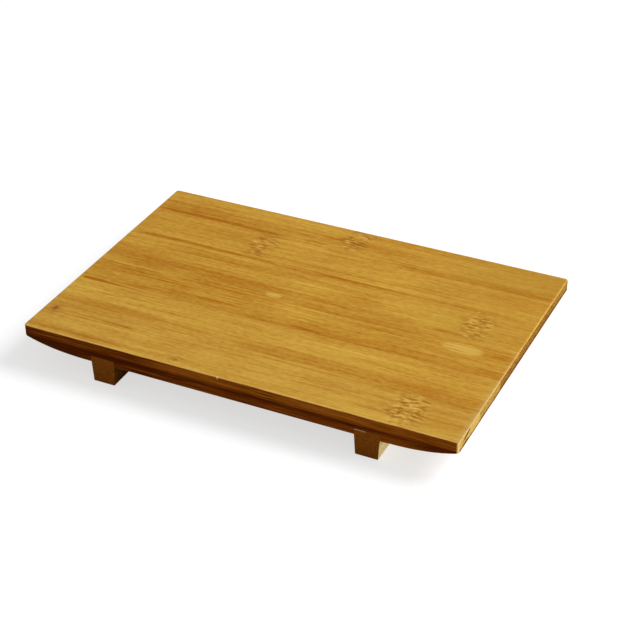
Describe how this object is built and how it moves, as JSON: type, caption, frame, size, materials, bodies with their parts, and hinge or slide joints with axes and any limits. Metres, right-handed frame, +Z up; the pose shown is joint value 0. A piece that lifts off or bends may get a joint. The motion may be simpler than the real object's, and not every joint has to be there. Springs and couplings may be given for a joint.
{
  "type": "sushi geta board",
  "caption": "Low rectangular bamboo serving board glued up from strips, standing on housed cross feet, with its underside swept up at the ends for lifting.",
  "frame": {"origin": "on the table, under the middle of the board", "axes": "+X along the length and the grain, +Y from the front edge to the back edge, +Z up"},
  "size_m": [0.27, 0.18, 0.026],
  "materials": {
    "top_ply": "satin oiled bamboo",
    "base_ply": "satin oiled bamboo",
    "foot": "sanded bamboo"
  },
  "bodies": {
    "root": {"top_strip_1": "top_ply", "top_strip_2": "top_ply", "top_strip_3": "top_ply", "top_strip_4": "top_ply", "top_strip_5": "top_ply", "top_strip_6": "top_ply", "base_strip_1": "base_ply", "base_strip_2": "base_ply", "base_strip_3": "base_ply", "base_strip_4": "base_ply", "base_strip_5": "base_ply", "base_strip_6": "base_ply", "base_strip_7": "base_ply", "left_foot_outer": "foot", "left_foot_inner": "foot", "right_foot_outer": "foot", "right_foot_inner": "foot"}
  },
  "joints": []
}
